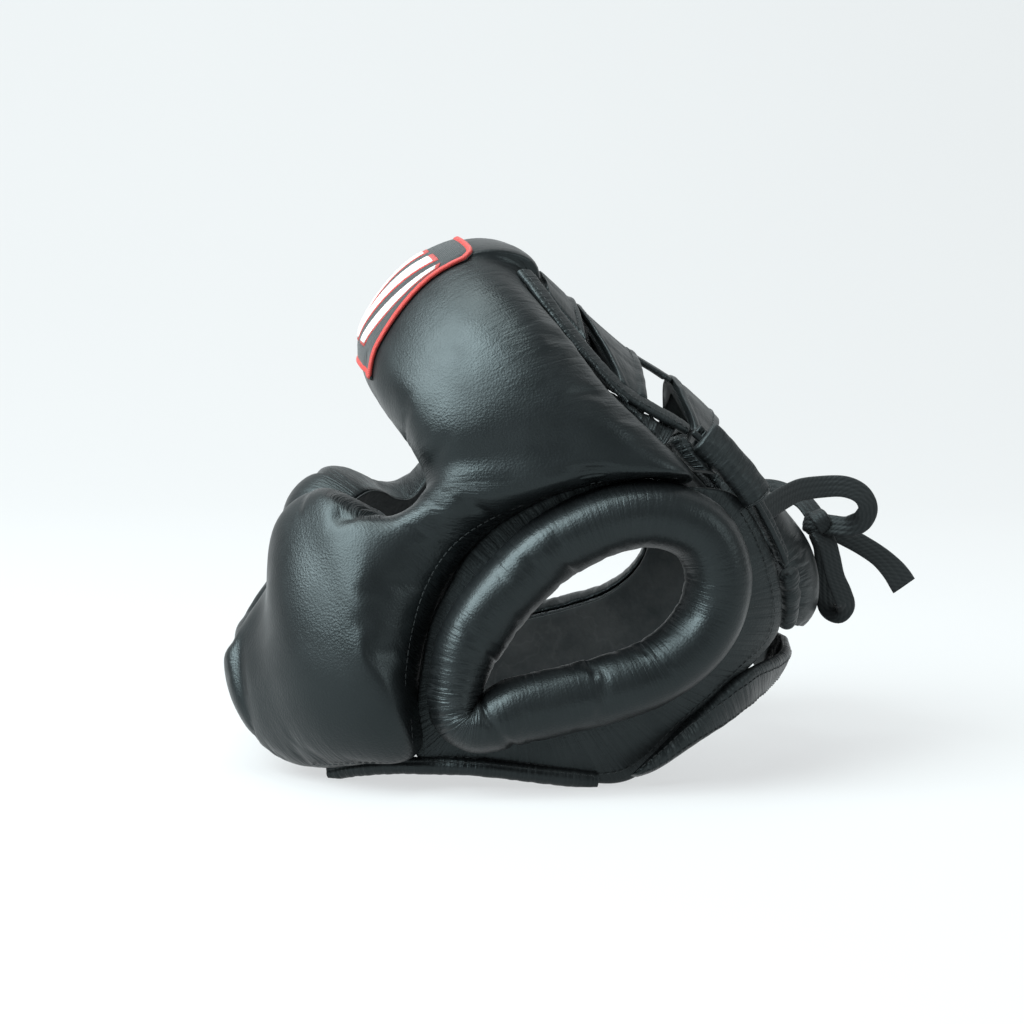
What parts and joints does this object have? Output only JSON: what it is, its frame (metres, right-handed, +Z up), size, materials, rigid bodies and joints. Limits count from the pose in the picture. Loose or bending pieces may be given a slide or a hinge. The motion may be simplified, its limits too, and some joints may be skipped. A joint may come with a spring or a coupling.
{
  "type": "boxing headgear",
  "caption": "Full-face padded leather headgear with cheek pads, raised ear rings, a strapped open crown, a laced back pad and a nape strap.",
  "frame": {"origin": "on the table under the middle of the headgear, measured without its lace, where it stands on the four corners of its jaw edges", "axes": "+Z up; +X from the face opening towards the back of the head; +Y from the left ear towards the right ear"},
  "size_m": [0.2844, 0.2074, 0.2111],
  "materials": {
    "satin_leather": "satin black leather with fine wrinkles",
    "grained_leather": "black leather with a coarser grain, matt",
    "edge_binding": "folded black leather, matt",
    "suede_lining": "napped dark lining",
    "foam": "closed-cell grey foam, matt",
    "woven_patch": "woven black badge with a red edge and a plain light motif",
    "closure_tape": "black hook-and-loop tape",
    "braided_lace": "flat braided black lace"
  },
  "bodies": {
    "headgear": {"face_cover": "satin_leather", "face_lining": "suede_lining", "forehead_foam": "foam", "chin_foam": "foam", "forehead_patch": "woven_patch", "cheek_foam_left": "foam", "cheek_foam_right": "foam", "side_panel_left": "satin_leather", "side_panel_right": "satin_leather", "side_lining_left": "suede_lining", "side_lining_right": "suede_lining", "ear_ring_cover_left": "satin_leather", "ear_ring_cover_right": "satin_leather", "ear_ring_foam_left": "foam", "ear_ring_foam_right": "foam", "jaw_binding_left": "edge_binding", "jaw_binding_right": "edge_binding", "crown_gusset_left": "grained_leather", "crown_gusset_right": "grained_leather", "crown_band_left": "satin_leather", "crown_band_right": "satin_leather", "crown_front_flap": "satin_leather", "crown_cross_strap": "satin_leather", "crown_centre_strap": "satin_leather", "crown_rear_flap": "satin_leather", "side_wedge_left": "satin_leather", "side_wedge_right": "satin_leather", "upper_sleeve_left": "satin_leather", "upper_sleeve_right": "satin_leather", "rear_roll_left": "satin_leather", "rear_roll_right": "satin_leather", "rear_piping_left": "edge_binding", "rear_piping_right": "edge_binding", "lower_sleeve_left": "satin_leather", "lower_sleeve_right": "satin_leather", "back_pad_cover": "satin_leather", "back_pad_foam": "foam", "back_pad_lining": "suede_lining", "nape_stub": "satin_leather", "loop_patch": "closure_tape", "lace_left": "braided_lace", "lace_right": "braided_lace", "lace_loop": "braided_lace", "lace_tail": "braided_lace", "lace_knot": "braided_lace"},
    "nape_strap": {"nape_strap": "satin_leather", "hook_patch": "closure_tape"}
  },
  "joints": [
    {"name": "nape_strap_swing", "type": "hinge", "parent": "headgear", "child": "nape_strap", "pos_m": [0.03646, -0.0805, 0.00399], "axis": [-0.4695, 0, -0.8829], "range_deg": [0, 60]}
  ]
}
